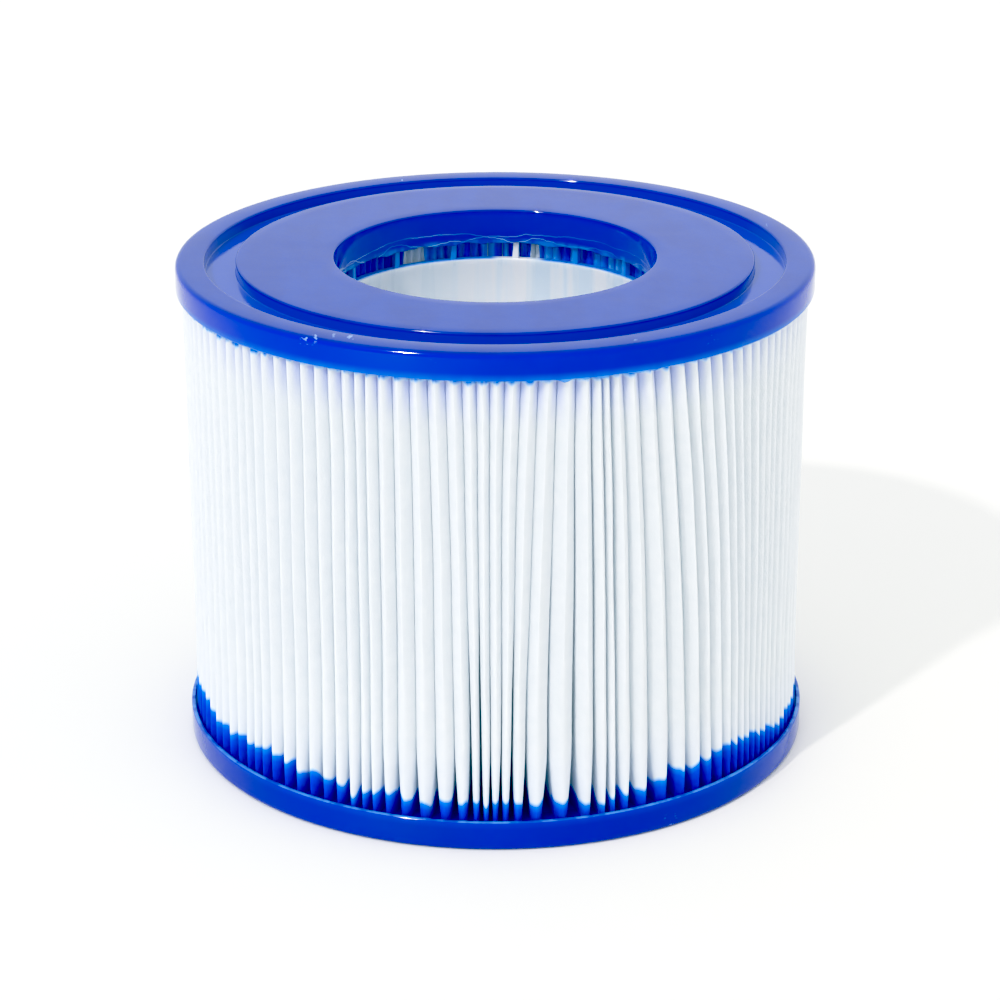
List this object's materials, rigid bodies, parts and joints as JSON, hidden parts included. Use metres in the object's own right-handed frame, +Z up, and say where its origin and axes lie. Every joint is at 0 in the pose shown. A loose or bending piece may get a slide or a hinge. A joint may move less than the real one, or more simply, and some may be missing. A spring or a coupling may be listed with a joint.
{
  "type": "pool filter cartridge",
  "caption": "Round pleated pool and spa filter cartridge with cast end caps, a grooved rim and a central bore over a perforated core.",
  "frame": {"origin": "middle of the lower face of the bottom end cap, where the cartridge stands", "axes": "+Z up along the bore, towards the top end cap; -Y towards the viewer"},
  "size_m": [0.106, 0.106, 0.0836],
  "materials": {
    "end_cap": "soft glossy cast plastisol, royal blue",
    "filter_media": "white spun-bonded polyester, blue where the cap compound has wicked into it",
    "core_plastic": "natural translucent moulded plastic",
    "adhesive": "clear hot-melt adhesive"
  },
  "bodies": {
    "root": {"top_end_cap": "end_cap", "bottom_end_cap": "end_cap", "pleated_media": "filter_media", "core_tube": "core_plastic", "seam_bead": "adhesive"}
  },
  "joints": []
}
